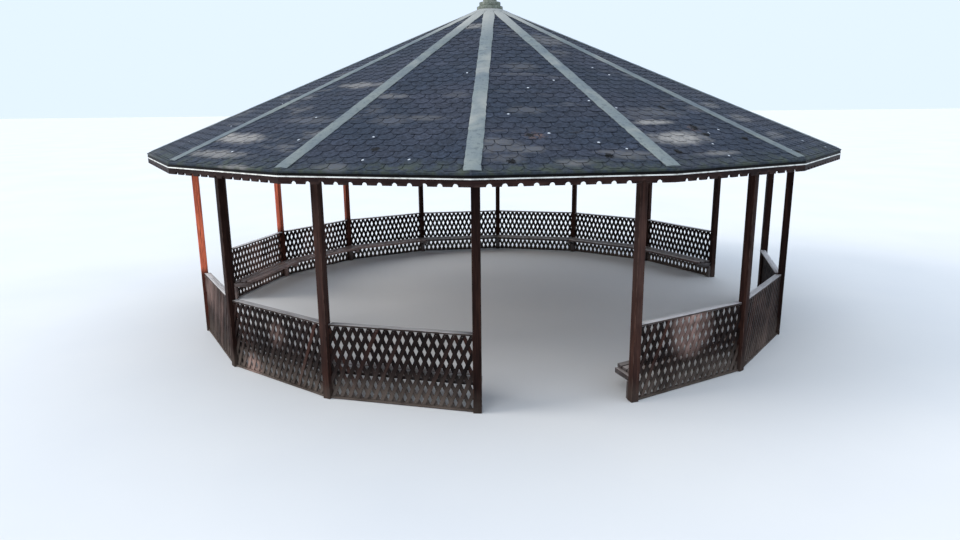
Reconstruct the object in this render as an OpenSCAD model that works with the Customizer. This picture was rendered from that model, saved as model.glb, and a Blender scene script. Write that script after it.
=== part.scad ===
// Bandstand: sixteen posts on a regular ring carry a low pyramid roof of sixteen
// facets. Thirteen bays are closed by lattice panels, eleven of them with benches
// inside, and three bays are open as entrances.
// The origin is the centre of the ring on the ground, +Z is up, and the front
// entrance faces -Y. All sizes are in millimetres.

/* [Ring of posts] */
// Distance between the centres of two neighbouring posts
bay_w = 1700; // [1500:10:1900]
// Side of the square posts
post_w = 90; // [80:1:110]
// Height of the posts up to the ring beams
post_h = 2584; // [2300:1:2900]

/* [Lattice panels] */
// Height of the top of the handrail above the ground
rail_h = 855; // [780:5:950]
// Thickness of the handrail board
rail_t = 22; // [18:1:30]
// Width of the handrail board
rail_w = 86; // [70:1:100]
// Distance from the line of the posts out to the handrail's outer edge
rail_out = 14; // [12:1:40]
// Height of the bottom rail board
sill_h = 22; // [18:1:30]
// Width of the bottom rail board
sill_w = 60; // [50:1:80]
// Gap between the ground and the bottom rail
sill_gap = 6; // [3:1:12]
// Width of one lattice slat
slat_w = 42; // [30:1:46]
// Thickness of one lattice slat
slat_t = 12; // [8:1:16]
// How far the nails have pressed the two layers of slats into each other
slat_press = 0.5; // [0.3:0.1:1]
// Number of diamonds side by side in a panel
lattice_cols = 17; // [14:1:20]
// Height of half a diamond: one crossing to the next one down
lattice_row = 107; // [95:1:125]
// How far the topmost crossings lie below the handrail
lattice_drop = 4; // [2:1:12]
// Shift of all crossings to the left, seen from outside, as a share of a column
lattice_shift = 0.07; // [0.04:0.01:0.2]
// How much higher the lattice sits in the panel right of the front entrance
lattice_rise = 80; // [78:1:95]

/* [Benches] */
// Height of the seat above the ground
seat_h = 310; // [290:5:420]
// Width of one seat plank
plank_w = 90; // [80:1:120]
// Thickness of the seat planks
plank_t = 40; // [20:1:45]
// Number of planks in the depth of a seat
plank_n = 3; // [2:1:4]
// Gap between two seat planks
plank_gap = 13; // [8:1:30]
// Gap between the inner faces of the posts and the first plank
seat_gap = 4; // [2:1:20]
// Width of the bearers and legs under the seats
bearer_w = 70; // [50:1:90]
// Height of the bearers under the seats
bearer_h = 60; // [40:1:80]
// Thickness of the legs, which stand against the posts
leg_d = 45; // [35:1:70]

/* [Roof frame] */
// Height of the ring beams
beam_h = 100; // [80:1:140]
// Width of the ring beams
beam_w = 90; // [70:1:110]
// Width of the hip rafters
rafter_w = 60; // [45:1:64]
// Depth of the hip rafters, square to their slope
rafter_d = 88; // [70:1:100]
// Depth of the notch with which a rafter sits on the ring beams
notch_d = 22; // [10:1:35]
// Distance from the hub's centre to its flat sides
hub_r = 165; // [163:1:220]
// Height of the hub
hub_h = 300; // [200:1:400]
// Width of the purlins between the rafters
purlin_w = 50; // [40:1:70]
// Depth of the purlins, square to the roof
purlin_d = 70; // [50:1:86]
// Distance from the centre to the lower purlins, halfway between two hips
purlin_low_r = 2950; // [2500:10:3500]
// Distance from the centre to the upper purlins, halfway between two hips
purlin_high_r = 1500; // [1200:10:2000]

/* [Roof cover] */
// Slope of the hips: rise for one unit of run
hip_slope = 0.4175; // [0.38:0.0005:0.45]
// Distance from the line of the posts out to the face of the fascia
eave_over = 553; // [450:1:700]
// Thickness of the boards that cover the rafters
deck_t = 20; // [15:1:28]
// Thickness of the shingle layer
shingle_t = 8; // [6:1:12]
// Overhang of the boards over the fascia
deck_over = 2; // [0:1:20]
// Overhang of the shingles over the fascia
shingle_over = 8; // [4:1:30]
// Distance from the centre to the upper edge of the boards
deck_hole_r = 90; // [70:1:120]
// Width of the strips that cover the hips
cap_w = 168; // [120:1:200]
// Thickness of the strips that cover the hips
cap_t = 4; // [3:1:8]
// Distance from the fascia's corner back to the lower end of a hip strip, along the hip
cap_back = 48; // [20:1:120]
// Distance from the centre to the upper end of a hip strip, along the hip
cap_top_r = 250; // [200:1:280]

/* [Fascia] */
// Thickness of the fascia boards
fascia_t = 25; // [18:1:32]
// Height of the fascia boards, from the roof boards down to the lower edge
fascia_h = 102; // [90:1:130]
// Radius of the round notches along the fascia's lower edge
scallop_r = 29; // [18:1:34]
// Distance between the centres of two notches
scallop_step = 146; // [110:1:150]
// Number of round notches on each side of the roof
scallop_n = 12; // [8:1:12]
// Thickness of the metal drip strip
drip_t = 2; // [1.5:0.5:3]
// Height of the drip strip
drip_h = 14; // [10:1:25]
// Drop from the underside of the roof boards to the drip strip
drip_drop = 20; // [10:1:40]
// Height of the drip strip's bent lower edge
drip_lip = 4; // [3:1:6]
// How far the bent lower edge stands out
drip_kick = 3; // [2:1:4]

/* [Finial] */
// Radius of the stem that stands on the hub
stem_r = 78; // [50:1:84]
// Radius of the lower ring
ring1_r = 196; // [170:1:220]
// Height of the lower ring's rim
ring1_h = 44; // [30:1:60]
// Radius of the upper ring
ring2_r = 160; // [130:1:168]
// Height of the upper ring
ring2_h = 54; // [30:1:70]
// Height of the groove between the rings
groove_h = 8; // [4:1:14]
// Radius of the neck above the rings
neck_r = 105; // [80:1:120]
// Height of the neck
neck_h = 70; // [40:1:120]
// Radius of the knob at the top
knob_r = 118; // [90:1:140]
// Thickness of the collar round the apex
collar_t = 3; // [2:1:5]
// Distance from the centre to the collar's lower edge, halfway between two hips
collar_r = 300; // [290:1:340]

/* [Hidden] */
sides = 16;
half = 180 / sides;
joint = 1;
deck_joint = 2;
plank_joint = 4;
fit = 0.3;
open_bays = [0, 4, 12];
panel_bays = [for (i = [0 : sides - 1]) if (len(search(i, open_bays)) == 0) i];
bench_runs = [[1, 2], [14, 15], [5, 11]];
bench_posts = [for (run = bench_runs) for (i = [run[0] : run[1] + 1]) (i + 3) % sides];
post_r = bay_w / 2 / sin(half);
bay_r = post_r * cos(half);
facet_slope = hip_slope / cos(half);
pitch = atan(facet_slope);
hip_pitch = atan(hip_slope);
shingle_v = shingle_t / cos(pitch);
deck_v = deck_t / cos(pitch);
cap_v = cap_t / cos(pitch);
collar_v = collar_t / cos(pitch);
eave_r = bay_r + eave_over;
reach = 1.2 * eave_r;
rafter_v = rafter_d / cos(hip_pitch);
beam_top = post_h + beam_h;
deck_under = beam_top - notch_d + rafter_v + hip_slope * post_r;
apex_h = deck_under + deck_v + shingle_v;
seat_in = post_w / 2 + seat_gap;
seat_depth = plank_n * plank_w + (plank_n - 1) * plank_gap;
seat_under = seat_h - plank_t;
bearer_in = post_r - (seat_in + seat_depth) / cos(half) + plank_gap;
eave_under = deck_under - facet_slope * eave_r;
cap_end_r = eave_r / cos(half) - cap_back;

function pad(n) = n < 10 ? str("0", n) : str(n);
function post_name(k) = str("post_", pad(k + 1));
function panel_name(j) = str("lattice_panel_", pad(j + 1));

// Turns a drawing whose +X points outward so that it faces out of bay i.
module in_bay(i) rotate([0, 0, -90 + 360 / sides * i]) children();

// Turns a drawing whose +X points outward so that it lies on the line of post k.
module on_post(k) rotate([0, 0, -90 + 360 / sides * (k - 3.5)]) children();

// Extrudes a section of points (distance outward, height) along the side of a bay.
module along_side(points, length) {
    rotate([90, 0, 0]) linear_extrude(length, center = true) polygon(points);
}

// The plan of one bay from the centre outward, clear of its hips by half a joint.
module wedge(clear) {
    x0 = clear / 2 / sin(half);
    y1 = (reach - x0) * tan(half);
    translate([0, 0, -1]) linear_extrude(apex_h + 2) polygon([[x0, 0], [reach, -y1], [reach, y1]]);
}

// A ring piece of one bay, with its ends cut along the hips.
module bay_piece(points, clear = joint) {
    intersection() {
        along_side(points, 2 * reach * tan(half));
        wedge(clear);
    }
}

// A layer that lies on a facet between two heights and two distances from the centre.
function layer(top, bottom, r0, r1) = [
    [r0, top - facet_slope * r0],
    [r1, top - facet_slope * r1],
    [r1, bottom - facet_slope * r1],
    [r0, bottom - facet_slope * r0]
];

// Everything above the underside of the boards of one facet.
module above_deck() {
    translate([0, 0, deck_under]) rotate([0, pitch, 0]) translate([-reach / 2, -reach / 2, 0]) cube([2 * reach, reach, reach]);
}

module post(k) {
    color("#4a2c22") on_post(k)
        translate([post_r - post_w / 2, -post_w / 2, 0]) cube([post_w, post_w, post_h]);
}

// Plan between the facing sides of two posts, from x0 to x1 about the line of the posts.
module between_posts(x0, x1) {
    function end(x) = bay_w / 2 - post_w / 2 / cos(half) + x * tan(half);
    polygon([
        [bay_r + x0, -end(x0)],
        [bay_r + x1, -end(x1)],
        [bay_r + x1, end(x1)],
        [bay_r + x0, end(x0)]
    ]);
}

module board_between_posts(x0, x1, z0, z1) {
    translate([0, 0, z0]) linear_extrude(z1 - z0) between_posts(x0, x1);
}

// One layer of parallel slats, leaning to one side (lean is 1 or -1). The topmost
// crossings are at the height top.
module slats(lean, top) {
    clear_w = bay_w - post_w / cos(half);
    col = clear_w / lattice_cols;
    tilt = atan(col / 2 / lattice_row);
    long = top / cos(tilt) + slat_w;
    extra = ceil(top / lattice_row / 2) + 1;
    for (n = [-extra : lattice_cols + extra])
        translate([0, (n - lattice_shift) * col - clear_w / 2, top])
            rotate([lean * tilt, 0, 0])
                translate([0, -slat_w / 2, -long]) cube([slat_t, slat_w, long + slat_w]);
}

module lattice_panel(j) {
    top = rail_h - rail_t - lattice_drop + (panel_bays[j] == 1 ? lattice_rise : 0);
    color("#3c2620") in_bay(panel_bays[j]) union() {
        intersection() {
            union() {
                translate([bay_r, 0, 0]) slats(-1, top);
                translate([bay_r - slat_t + slat_press, 0, 0]) slats(1, top);
            }
            board_between_posts(-slat_t, slat_t, sill_gap, rail_h - rail_t);
        }
        board_between_posts(-sill_w / 2, sill_w / 2, sill_gap, sill_gap + sill_h);
    }
}

module handrails() {
    color("#5d4a42") for (i = panel_bays) in_bay(i)
        board_between_posts(rail_out - rail_w, rail_out, rail_h - rail_t, rail_h);
}

// Seat planks of the bays from first to last, cut square to the posts' lines.
module bench(first, last) {
    color("#4b3128") for (i = [first : last]) in_bay(i)
        for (n = [0 : plank_n - 1]) {
            x1 = bay_r - seat_in - n * (plank_w + plank_gap);
            x0 = x1 - plank_w;
            bay_piece([[x0, seat_under], [x1, seat_under], [x1, seat_h], [x0, seat_h]], plank_joint);
        }
}

// Bearers that run inward from the posts, under the ends of the seats.
module bench_bearers() {
    color("#33211c") for (k = bench_posts) on_post(k)
        translate([bearer_in, -bearer_w / 2, seat_under - bearer_h])
            cube([post_r - post_w / 2 - bearer_in, bearer_w, bearer_h]);
}

// A leg against each of these posts, under its bearer.
module bench_legs() {
    color("#33211c") for (k = bench_posts) on_post(k)
        translate([post_r - post_w / 2 - leg_d, -bearer_w / 2, 0]) cube([leg_d, bearer_w, seat_under - bearer_h]);
}

module ring_beams() {
    r0 = bay_r - beam_w / 2;
    r1 = bay_r + beam_w / 2;
    color("#452a20") for (i = [0 : sides - 1]) in_bay(i)
        bay_piece([[r0, post_h], [r1, post_h], [r1, beam_top], [r0, beam_top]]);
}

module hip_rafters() {
    r1 = eave_r / cos(half);
    color("#452a20") for (k = [0 : sides - 1]) on_post(k) difference() {
        rotate([90, 0, 0]) linear_extrude(rafter_w, center = true) polygon([
            [hub_r, deck_under - hip_slope * hub_r],
            [r1, deck_under - hip_slope * r1],
            [r1, deck_under - hip_slope * r1 - rafter_v],
            [hub_r, deck_under - hip_slope * hub_r - rafter_v]
        ]);
        for (s = [-1, 1]) rotate([0, 0, s * half]) {
            above_deck();
            translate([eave_r - fascia_t, -reach / 2, 0]) cube([reach, reach, apex_h]);
            translate([bay_r - beam_w / 2, -reach / 2, post_h]) cube([beam_w, reach, beam_h]);
        }
    }
}

module rafter_hub() {
    corner = hub_r / cos(half);
    top = deck_under - facet_slope * corner - fit;
    color("#452a20") translate([0, 0, top - hub_h]) rotate([0, 0, -90]) linear_extrude(hub_h)
        polygon([for (k = [0 : sides - 1]) corner * [cos(360 / sides * k), sin(360 / sides * k)]]);
}

// Two rings of purlins, cut between the sides of the rafters.
module purlins() {
    color("#452a20") for (r = [purlin_low_r, purlin_high_r]) for (i = [0 : sides - 1]) in_bay(i) difference() {
        along_side([
            [r, deck_under - facet_slope * r],
            [r + purlin_w, deck_under - facet_slope * (r + purlin_w)],
            [r + purlin_w, deck_under - facet_slope * r - purlin_d],
            [r, deck_under - facet_slope * r - purlin_d]
        ], 2 * r * tan(half) + rafter_w);
        for (s = [-1, 1]) rotate([0, 0, s * half])
            translate([0, s > 0 ? -rafter_w / 2 : rafter_w / 2 - reach, 0]) cube([reach, reach, apex_h]);
    }
}

module roof_deck() {
    color("#6b4a35") for (i = [0 : sides - 1]) in_bay(i)
        bay_piece(layer(apex_h - shingle_v, deck_under, deck_hole_r, eave_r + deck_over), deck_joint);
}

module shingles() {
    color("#3f434b") for (i = [0 : sides - 1]) in_bay(i)
        bay_piece(layer(apex_h, apex_h - shingle_v, deck_hole_r, eave_r + shingle_over));
}

// A strip bent over each hip: two halves that meet on the hip line.
module hip_strips() {
    color("#97a19c") for (k = [0 : sides - 1]) on_post(k) union() {
        for (s = [-1, 1]) intersection() {
            rotate([0, 0, s * half]) along_side(layer(apex_h + cap_v, apex_h, 0, reach), reach);
            translate([cap_top_r, s > 0 ? 0 : -cap_w / 2, 0]) cube([cap_end_r - cap_top_r, cap_w / 2, apex_h]);
            wedge(joint);
        }
    }
}

// Boards round the eave that reach up to the roof boards, with round notches below.
module fascia_boards() {
    low = eave_under - fascia_h;
    back = eave_r - fascia_t;
    color("#40261e") for (i = [0 : sides - 1]) in_bay(i) difference() {
        bay_piece([[back, low], [eave_r, low], [eave_r, eave_under], [back, eave_under + facet_slope * fascia_t]]);
        for (n = [0 : scallop_n - 1])
            translate([eave_r - 2 * fascia_t, (n + 0.5 - scallop_n / 2) * scallop_step, low])
                rotate([0, 90, 0]) cylinder(r = scallop_r, h = 3 * fascia_t, $fn = 48);
    }
}

// Bright strips on the faces of the fascia boards, with the lower edge bent outward.
module drip_strips() {
    top = eave_under - drip_drop;
    low = top - drip_h;
    face = eave_r + drip_t;
    color("#c9c9c4") for (i = [0 : sides - 1]) in_bay(i)
        bay_piece([
            [eave_r, top],
            [face, top],
            [face, low + drip_lip],
            [face + drip_kick, low],
            [eave_r + drip_kick, low],
            [eave_r, low + drip_lip]
        ]);
}

// A folded sheet over the apex, with one face on each facet.
module apex_collar() {
    low = apex_h + cap_v;
    rings = [[deck_hole_r, low], [collar_r, low], [collar_r, low + collar_v], [deck_hole_r, low + collar_v]];
    function corner(ring, k) = let (r = ring[0], a = -90 + 360 / sides * (k - 0.5))
        [r / cos(half) * cos(a), r / cos(half) * sin(a), ring[1] - facet_slope * r];
    color("#a9aca4") polyhedron(
        points = [for (ring = rings) for (k = [0 : sides - 1]) corner(ring, k)],
        faces = [
            for (m = [0 : 3]) for (k = [0 : sides - 1])
                let (k2 = (k + 1) % sides, m2 = (m + 1) % 4)
                [m * sides + k, m * sides + k2, m2 * sides + k2, m2 * sides + k]
        ]
    );
}

module finial() {
    base = deck_under - facet_slope * hub_r / cos(half) - fit;
    function roof_at(r) = apex_h + cap_v + collar_v + fit - hip_slope * r;
    z1 = roof_at(ring1_r) + ring1_h;
    z2 = z1 + groove_h + ring2_h;
    z3 = z2 + neck_h;
    color("#7d8468") rotate_extrude($fn = 96) polygon(concat(
        [
            [0, base],
            [stem_r, base],
            [stem_r, roof_at(stem_r)],
            [ring1_r, roof_at(ring1_r)],
            [ring1_r, z1],
            [ring2_r - groove_h, z1],
            [ring2_r - groove_h, z1 + groove_h],
            [ring2_r, z1 + groove_h],
            [ring2_r, z2],
            [neck_r, z2],
            [neck_r, z3]
        ],
        [for (a = [-50 : 10 : 80]) [knob_r * cos(a), z3 + knob_r * sin(50) + knob_r * sin(a)]],
        [[0, z3 + knob_r * sin(50) + knob_r]]
    ));
}

for (k = [0 : sides - 1]) post(k);
for (j = [0 : len(panel_bays) - 1]) lattice_panel(j);
handrails();
for (m = [0, 1]) bench(bench_runs[m][0], bench_runs[m][1]);  // bench_sides
bench(bench_runs[2][0], bench_runs[2][1]);  // bench_back
bench_bearers();
bench_legs();
ring_beams();
hip_rafters();
rafter_hub();
purlins();
roof_deck();
shingles();
hip_strips();
fascia_boards();
drip_strips();
apex_collar();
finial();
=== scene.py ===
"""Looks of the bandstand: every board, slat, shingle and strip as a piece of its own."""
import math
import random

import bmesh
import bpy
import numpy as np
from mathutils import Matrix, Vector


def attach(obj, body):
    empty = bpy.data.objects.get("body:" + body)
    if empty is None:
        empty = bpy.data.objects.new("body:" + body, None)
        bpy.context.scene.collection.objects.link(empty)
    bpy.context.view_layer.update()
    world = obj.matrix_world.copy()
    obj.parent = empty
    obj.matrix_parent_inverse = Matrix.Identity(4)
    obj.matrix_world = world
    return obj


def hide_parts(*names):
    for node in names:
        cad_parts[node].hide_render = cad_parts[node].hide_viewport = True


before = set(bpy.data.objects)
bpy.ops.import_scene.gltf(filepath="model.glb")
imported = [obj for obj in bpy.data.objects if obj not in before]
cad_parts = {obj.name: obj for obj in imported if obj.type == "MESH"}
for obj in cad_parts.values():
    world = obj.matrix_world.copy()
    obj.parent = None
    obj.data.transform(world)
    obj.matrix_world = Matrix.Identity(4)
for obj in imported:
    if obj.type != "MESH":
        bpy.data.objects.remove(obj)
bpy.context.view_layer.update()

# Sizes in metres, as in part.scad
SIDES = 16
HALF = math.pi / SIDES
TAN = math.tan(HALF)
COS = math.cos(HALF)
SIN = math.sin(HALF)
OPEN_BAYS = (0, 4, 12)
PANEL_BAYS = [i for i in range(SIDES) if i not in OPEN_BAYS]
RAISED_BAY = 1
BAY_W = 1.700
POST_W = 0.090
POST_H = 2.584
POST_R = BAY_W / 2 / SIN
BAY_R = POST_R * COS
RAIL_H = 0.855
RAIL_T = 0.022
RAIL_W = 0.086
RAIL_OUT = 0.014
SILL_GAP = 0.006
SILL_H = 0.022
SILL_W = 0.060
SILL_TOP = SILL_GAP + SILL_H
SLAT_W = 0.042
SLAT_T = 0.012
SLAT_PRESS = 0.0005
LATTICE_COLS = 17
LATTICE_ROW = 0.107
LATTICE_DROP = 0.004
LATTICE_SHIFT = 0.07
LATTICE_RISE = 0.080
BENCH_BAYS = {"bench_sides": (1, 2, 14, 15), "bench_back": (5, 6, 7, 8, 9, 10, 11)}
BENCH_POSTS = (1, 2, 3, 4, 5, 6, 8, 9, 10, 11, 12, 13, 14, 15)
SEAT_H = 0.310
PLANK_W = 0.090
PLANK_T = 0.040
PLANK_N = 3
PLANK_GAP = 0.013
SEAT_IN = POST_W / 2 + 0.004
BEARER_W = 0.070
BEARER_H = 0.060
LEG_D = 0.045
BEAM_H = 0.100
BEAM_W = 0.090
BEAM_TOP = POST_H + BEAM_H
RAFTER_W = 0.060
RAFTER_D = 0.088
NOTCH_D = 0.022
HUB_R = 0.165
HUB_H = 0.300
PURLIN_W = 0.050
PURLIN_D = 0.070
PURLIN_R = (2.950, 1.500)
HIP_SLOPE = 0.4175
SLOPE = HIP_SLOPE / COS
PITCH = math.atan(SLOPE)
EAVE_R = BAY_R + 0.553
DECK_T = 0.020
SHINGLE_T = 0.008
DECK_R = EAVE_R + 0.002
SHINGLE_R = EAVE_R + 0.008
DECK_HOLE_R = 0.090
CAP_W = 0.168
CAP_T = 0.004
CAP_END_R = EAVE_R / COS - 0.048
CAP_TOP_R = 0.250
FASCIA_T = 0.025
FASCIA_H = 0.102
SCALLOP_R = 0.029
SCALLOP_STEP = 0.146
SCALLOP_N = 12
RAFTER_V = RAFTER_D / math.cos(math.atan(HIP_SLOPE))
DECK_UNDER = BEAM_TOP - NOTCH_D + RAFTER_V + HIP_SLOPE * POST_R
APEX_H = DECK_UNDER + (DECK_T + SHINGLE_T) / math.cos(PITCH)
EAVE_UNDER = DECK_UNDER - SLOPE * EAVE_R
STEM_R = 0.078
RING1_R = 0.196
RING1_H = 0.044
RING2_R = 0.160
RING2_H = 0.054
GROOVE_H = 0.008
NECK_R = 0.105
NECK_H = 0.070
KNOB_R = 0.118
COLLAR_T = 0.003
COLLAR_R = 0.300

# Sizes that only the scene has: rows and tabs of the shingles, and the band along the eave
ROW = 0.128
TAB = 0.188
TAB_LONG = 0.205
TAB_SLOT = 0.010
TAB_FLAT = 0.098
TAB_CUT = 0.056
STARTER = 0.028
# Half the width of a facet, for each metre down the slope
FACET_SIDE = math.cos(PITCH) * TAN
# Longer than any board, for outlines that are cut to length afterwards
FAR = 9

# Frames of the bays, posts and facets


def turn(degrees):
    """Rows: outward, along the side and up, for a direction in the plan."""
    a = math.radians(degrees)
    return np.array([[math.cos(a), math.sin(a), 0], [-math.sin(a), math.cos(a), 0], [0, 0, 1.0]])


def bay_frame(i):
    return turn(-90 + 360 / SIDES * i)


def post_frame(k):
    """Post 0 stands three and a half bays before the middle of the front bay."""
    return turn(-90 + 360 / SIDES * (k - 3.5))


def in_frame(axes, origin=(0, 0, 0)):
    """Turns local coordinates into the row's frame."""
    return lambda points: points @ np.array(axes) + np.array(origin)


def facet_place(i):
    """Turns (distance down the slope, distance along the eave, height above the shingles' face)."""
    out, side, up = bay_frame(i)
    down = out * math.cos(PITCH) - up * math.sin(PITCH)
    normal = out * math.sin(PITCH) + up * math.cos(PITCH)
    return in_frame([down, side, normal], (0, 0, APEX_H))


def post_side(x):
    """Distance from a bay's middle to the side of its posts, x outward of the line of the posts."""
    return BAY_W / 2 - POST_W / 2 / COS + x * TAN


class Form:
    """One piece in the making. Each point keeps its place along, across and through its board (grain),
    how near it is to an edge (rim), where wood wears, hip strips gather dirt and shingles get painted shade,
    and the shade of its board (tint)."""

    def __init__(self):
        self.points = []
        self.faces = []
        self.grain = []
        self.rim = []
        self.tint = []
        self.count = 0

    def loft(self, rings, grain, rim, tint, place=None, closed=False):
        """Skin over rings of the same number of points, with a cap at both ends unless it is closed.
        place turns the points into the row's frame."""
        m, n = rings.shape[:2]
        faces = []
        for a in range(m if closed else m - 1):
            a2 = (a + 1) % m
            for b in range(n):
                b2 = (b + 1) % n
                faces.append((a * n + b, a * n + b2, a2 * n + b2, a2 * n + b))
        if not closed:
            faces.append(tuple(range(n))[::-1])
            faces.append(tuple(range((m - 1) * n, m * n)))
        points = rings.reshape(-1, 3)
        self.points.append(place(points) if place else points)
        self.grain.append(grain.reshape(-1, 3))
        self.rim.append(np.broadcast_to(rim, (m, n)).reshape(-1))
        self.tint.append(np.full(m * n, tint))
        self.faces.extend(tuple(self.count + a for a in face) for face in faces)
        self.count += m * n

    def make(self, name, material, replaced=(), smooth_angle=None):
        """The piece, with its material, under the root body; the frame's nodes that it replaces are hidden.
        """
        mesh = bpy.data.meshes.new(name)
        mesh.from_pydata(np.concatenate(self.points).tolist(), [], self.faces)
        cleaner = bmesh.new()
        cleaner.from_mesh(mesh)
        bmesh.ops.recalc_face_normals(cleaner, faces=cleaner.faces)
        cleaner.to_mesh(mesh)
        cleaner.free()
        for label, kind, key, values in (
            ("grain", "FLOAT_VECTOR", "vector", self.grain),
            ("rim", "FLOAT", "value", self.rim),
            ("tint", "FLOAT", "value", self.tint),
        ):
            layer = mesh.attributes.new(label, kind, "POINT")
            layer.data.foreach_set(key, np.concatenate(values).astype(np.float32).ravel())
        if smooth_angle:
            mesh.shade_smooth()
            mesh.set_sharp_from_angle(angle=math.radians(smooth_angle))
        mesh.materials.append(material)
        piece = bpy.data.objects.new(name, mesh)
        bpy.context.scene.collection.objects.link(piece)
        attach(piece, "root")
        if replaced:
            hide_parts(*replaced)


# Outlines, plates and bars


def area(outline):
    x, y = np.asarray(outline).T
    return 0.5 * float(np.sum(x * np.roll(y, -1) - np.roll(x, -1) * y))


def cut(outline, *lines):
    """The part of a convex outline where a x + b y <= c, for each line (a, b, c)."""
    for a, b, c in lines:
        kept = []
        for n, p in enumerate(outline):
            q = outline[(n + 1) % len(outline)]
            dp = a * p[0] + b * p[1] - c
            dq = a * q[0] + b * q[1] - c
            if dp <= 0:
                kept.append(p)
            if (dp < 0 < dq) or (dq < 0 < dp):
                t = dp / (dp - dq)
                kept.append((p[0] + t * (q[0] - p[0]), p[1] + t * (q[1] - p[1])))
        outline = kept
    return outline


def between_hips(outline, gap):
    """The part of an outline on a facet that stays a gap away from both hips."""
    return cut(outline, (-FACET_SIDE, 1, -gap), (-FACET_SIDE, -1, -gap))


def tidy(outline, least=0.0005):
    """The outline without points that all but coincide, counter-clockwise."""
    kept = []
    for p in outline:
        if not kept or math.dist(p, kept[-1]) > least:
            kept.append(p)
    if len(kept) > 1 and math.dist(kept[0], kept[-1]) <= least:
        kept.pop()
    if len(kept) > 2 and area(kept) < 0:
        kept.reverse()
    return kept


def inset(outline, depth):
    """A convex outline with its sides moved inward, or a smaller copy where little would be left."""
    sides = np.roll(outline, -1, axis=0) - outline
    sides /= np.linalg.norm(sides, axis=1)[:, None]
    inward = np.stack([-sides[:, 1], sides[:, 0]], axis=1)
    before = np.roll(inward, 1, axis=0)
    share = depth / np.maximum(0.25, 1 + np.sum(before * inward, axis=1))
    moved = outline + (before + inward) * share[:, None]
    if area(moved) < 0.2 * area(outline):
        centre = outline.mean(axis=0)
        moved = centre + (outline - centre) * 0.8
    return moved


def levels(*rings):
    """Rings of points from outlines, each with its height or heights."""
    return np.array([np.column_stack([ring, np.full(len(ring), high)]) for ring, high in rings])


def shift(rng):
    """A random start for the grain, so that no two boards share it."""
    return np.array([rng.uniform(0, 50) for _ in range(3)])


def plate(form, outline, low, high, edge, place, axis, tints, rng):
    """A flat board of a convex outline, its edges eased on both faces. axis is the direction of the grain in
    the outline's plane, and tints the range of its shade."""
    tint = rng.uniform(*tints)
    outline = tidy(outline)
    if len(outline) < 3 or area(outline) < 1e-5:
        return
    full = np.asarray(outline, float)
    small = inset(full, edge)
    rings = levels((small, low), (full, low + edge), (full, high - edge), (small, high))
    along = np.array(axis) / math.hypot(*axis)
    across = np.array([-along[1], along[0]])
    grain = np.stack([rings[..., :2] @ along, rings[..., :2] @ across, rings[..., 2]], axis=-1)
    form.loft(rings, grain + shift(rng), [[0], [1], [1], [0]], tint, place)


def rounded(width, height, radius, steps=2, centre=(0, 0)):
    """A rectangle with rounded corners, and how far each point is round its corner."""
    points = []
    rim = []
    for n, (sx, sy) in enumerate(((1, 1), (-1, 1), (-1, -1), (1, -1))):
        for m in range(steps + 1):
            a = math.pi / 2 * (n + m / steps)
            cx = sx * (width / 2 - radius)
            cy = sy * (height / 2 - radius)
            points.append((cx + radius * math.cos(a), cy + radius * math.sin(a)))
            rim.append(math.sin(math.pi * m / steps))
    return np.array(points) + np.array(centre), np.array(rim)


def bar(form, shape, end, axes, tints, rng, ease=0.003, start=None, stations=(), sway=0.0):
    """A board along the local y. shape is its section in x and z, with the rim of each point. start and end
    give the y of its ends for each x, and without a start both ends are alike. It bends at its stations."""
    section, rim = shape
    tint = rng.uniform(*tints)
    start = start or (lambda x: -end(x))
    centre = section.mean(axis=0)
    small = centre + (section - centre) * (1 - ease / np.abs(section - centre).max(axis=0).min())
    y0 = start(section[:, 0])
    y1 = end(section[:, 0])
    rings = [(small, start(small[:, 0])), (section, y0 + ease)]
    phase = rng.uniform(0, 6)
    for share in stations:
        bend = sway * math.sin(math.pi * share)
        bent = section + np.array([bend * math.sin(phase), bend * math.cos(phase)])
        rings.append((bent, y0 + (y1 - y0) * share))
    rings += [(section, y1 - ease), (small, end(small[:, 0]))]
    rings = np.array([np.column_stack([ring[:, 0], y, ring[:, 1]]) for ring, y in rings])
    wear = np.tile(rim, (len(rings), 1))
    wear[[0, -1]] = 0.6
    form.loft(rings, rings[..., [1, 0, 2]] + shift(rng), wear, tint, in_frame(axes))


def square_end(y):
    """An end for a bar that is cut off square."""
    return lambda x: 0 * x + y


def mitre(gap):
    """An end for a bar that all but meets the one of the next bay."""
    return lambda x: x * TAN - gap


def beside_post(gap):
    """An end for a bar that stops just short of a post."""
    return lambda x: post_side(x - BAY_R) - gap


def disc(form, centre, normal, radius, height, rng):
    """A low domed head of a nail or screw."""
    n = Vector(normal).normalized()
    a = n.orthogonal().normalized()
    b = n.cross(a)
    sides = 8
    rings = []
    for r, h in ((1.0, -0.3), (1.0, 0.35), (0.72, 0.85), (0.25, 1.0)):
        ring = []
        for m in range(sides):
            t = 2 * math.pi * m / sides
            p = Vector(centre) + (a * math.cos(t) + b * math.sin(t)) * radius * r + n * height * h
            ring.append(tuple(p))
        rings.append(ring)
    rings = np.array(rings)
    form.loft(rings, rings + rng.uniform(0, 20), 0.0, 0.5)


# Materials


def rgb(red, green, blue):
    """A colour as seen on a screen (0 to 255), as the linear values that Blender takes."""
    parts = []
    for value in (red, green, blue):
        v = value / 255
        parts.append(v / 12.92 if v <= 0.04045 else ((v + 0.055) / 1.055) ** 2.4)
    return (*parts, 1.0)


# Each facet has a stretch of its own in the first part of the grain, which keeps its marks to itself
FACET_SPACING = 7.3


def facet_start(i):
    return FACET_SPACING * (i + 1)


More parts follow.
